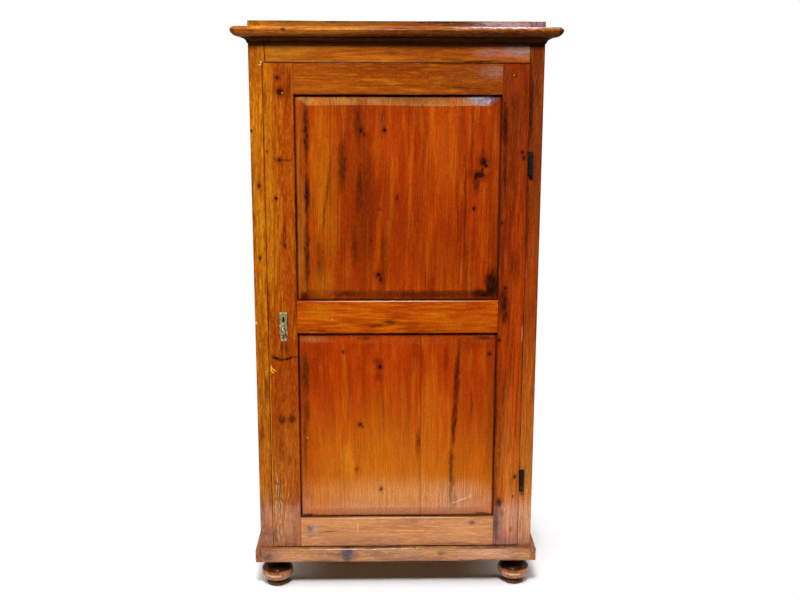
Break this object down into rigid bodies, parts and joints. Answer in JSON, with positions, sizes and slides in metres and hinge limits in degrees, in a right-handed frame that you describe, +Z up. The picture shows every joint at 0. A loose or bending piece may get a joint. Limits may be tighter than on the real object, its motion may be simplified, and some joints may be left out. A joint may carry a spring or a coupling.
{
  "type": "bonnetiere cabinet",
  "caption": "Tall single-door linen cupboard in stained pine: raised-panel door on barrel hinges, moulded cornice, plinth on turned bun feet, drop pull, cupboard lock and shelves.",
  "frame": {"origin": "on the floor, under the middle of the whole cabinet's footprint", "axes": "+X to the right hand of someone who faces the door, the door faces -Y, +Z up"},
  "size_m": [0.996, 0.498, 1.85],
  "materials": {
    "frame_pine": "stained and shellacked pine, glossy, worn arrises",
    "panel_pine": "stained and shellacked pine, glossy, upright grain",
    "moulding_pine": "stained and shellacked pine, worn paler on edges",
    "side_pine": "stained and shellacked pine boards",
    "inside_pine": "bare pine darkened with age",
    "aged_brass": "aged brass with a greenish tarnish",
    "dark_iron": "dark wrought iron, oiled"
  },
  "bodies": {
    "carcass": {"back_left_block": "inside_pine", "back_left_foot": "moulding_pine", "back_nails": "dark_iron", "back_plank_1": "inside_pine", "back_plank_2": "inside_pine", "back_plank_3": "inside_pine", "back_plank_4": "inside_pine", "back_right_block": "inside_pine", "back_right_foot": "moulding_pine", "bottom_board": "inside_pine", "cornice_front": "moulding_pine", "cornice_left": "moulding_pine", "cornice_right": "moulding_pine", "frieze_rail": "frame_pine", "front_left_block": "inside_pine", "front_left_foot": "moulding_pine", "front_right_block": "inside_pine", "front_right_foot": "moulding_pine", "hinge_washers": "dark_iron", "keeper_nails": "dark_iron", "keeper_plate": "dark_iron", "left_post": "frame_pine", "left_side": "side_pine", "lower_hinge_pin_leaf": "dark_iron", "lower_left_batten": "inside_pine", "lower_right_batten": "inside_pine", "lower_shelf": "inside_pine", "middle_left_batten": "inside_pine", "middle_right_batten": "inside_pine", "middle_shelf": "inside_pine", "plinth_front": "moulding_pine", "plinth_left": "moulding_pine", "plinth_right": "moulding_pine", "right_post": "frame_pine", "right_side": "side_pine", "sill_rail": "inside_pine", "top_board": "inside_pine", "upper_hinge_pin_leaf": "dark_iron", "upper_left_batten": "inside_pine", "upper_right_batten": "inside_pine", "upper_shelf": "inside_pine"},
    "door": {"left_stile": "frame_pine", "right_stile": "frame_pine", "top_rail": "frame_pine", "mid_rail": "frame_pine", "bottom_rail": "frame_pine", "upper_panel": "panel_pine", "lower_panel": "panel_pine", "door_pegs": "inside_pine", "upper_hinge_door_leaf": "dark_iron", "lower_hinge_door_leaf": "dark_iron", "escutcheon": "aged_brass", "escutcheon_nails": "aged_brass", "pull_stud": "aged_brass", "lock_case": "dark_iron", "lock_plate": "dark_iron", "lock_screws": "dark_iron", "lock_spring": "dark_iron"},
    "drop_pull": {"drop_pull": "aged_brass"},
    "lock_bolt": {"lock_bolt": "dark_iron"}
  },
  "joints": [
    {"name": "door_hinge", "type": "hinge", "parent": "carcass", "child": "door", "pos_m": [0.415, -0.21, 0.9], "axis": [0, 0, 1], "range_deg": [0, 180]},
    {"name": "pull_swing", "type": "hinge", "parent": "door", "child": "drop_pull", "pos_m": [-0.36, -0.2082, 0.916], "axis": [-1, 0, 0], "range_deg": [0, 120]},
    {"name": "bolt_slide", "type": "slide", "parent": "door", "child": "lock_bolt", "axis": [-1, 0, 0], "range_m": [0, 0.011]}
  ]
}
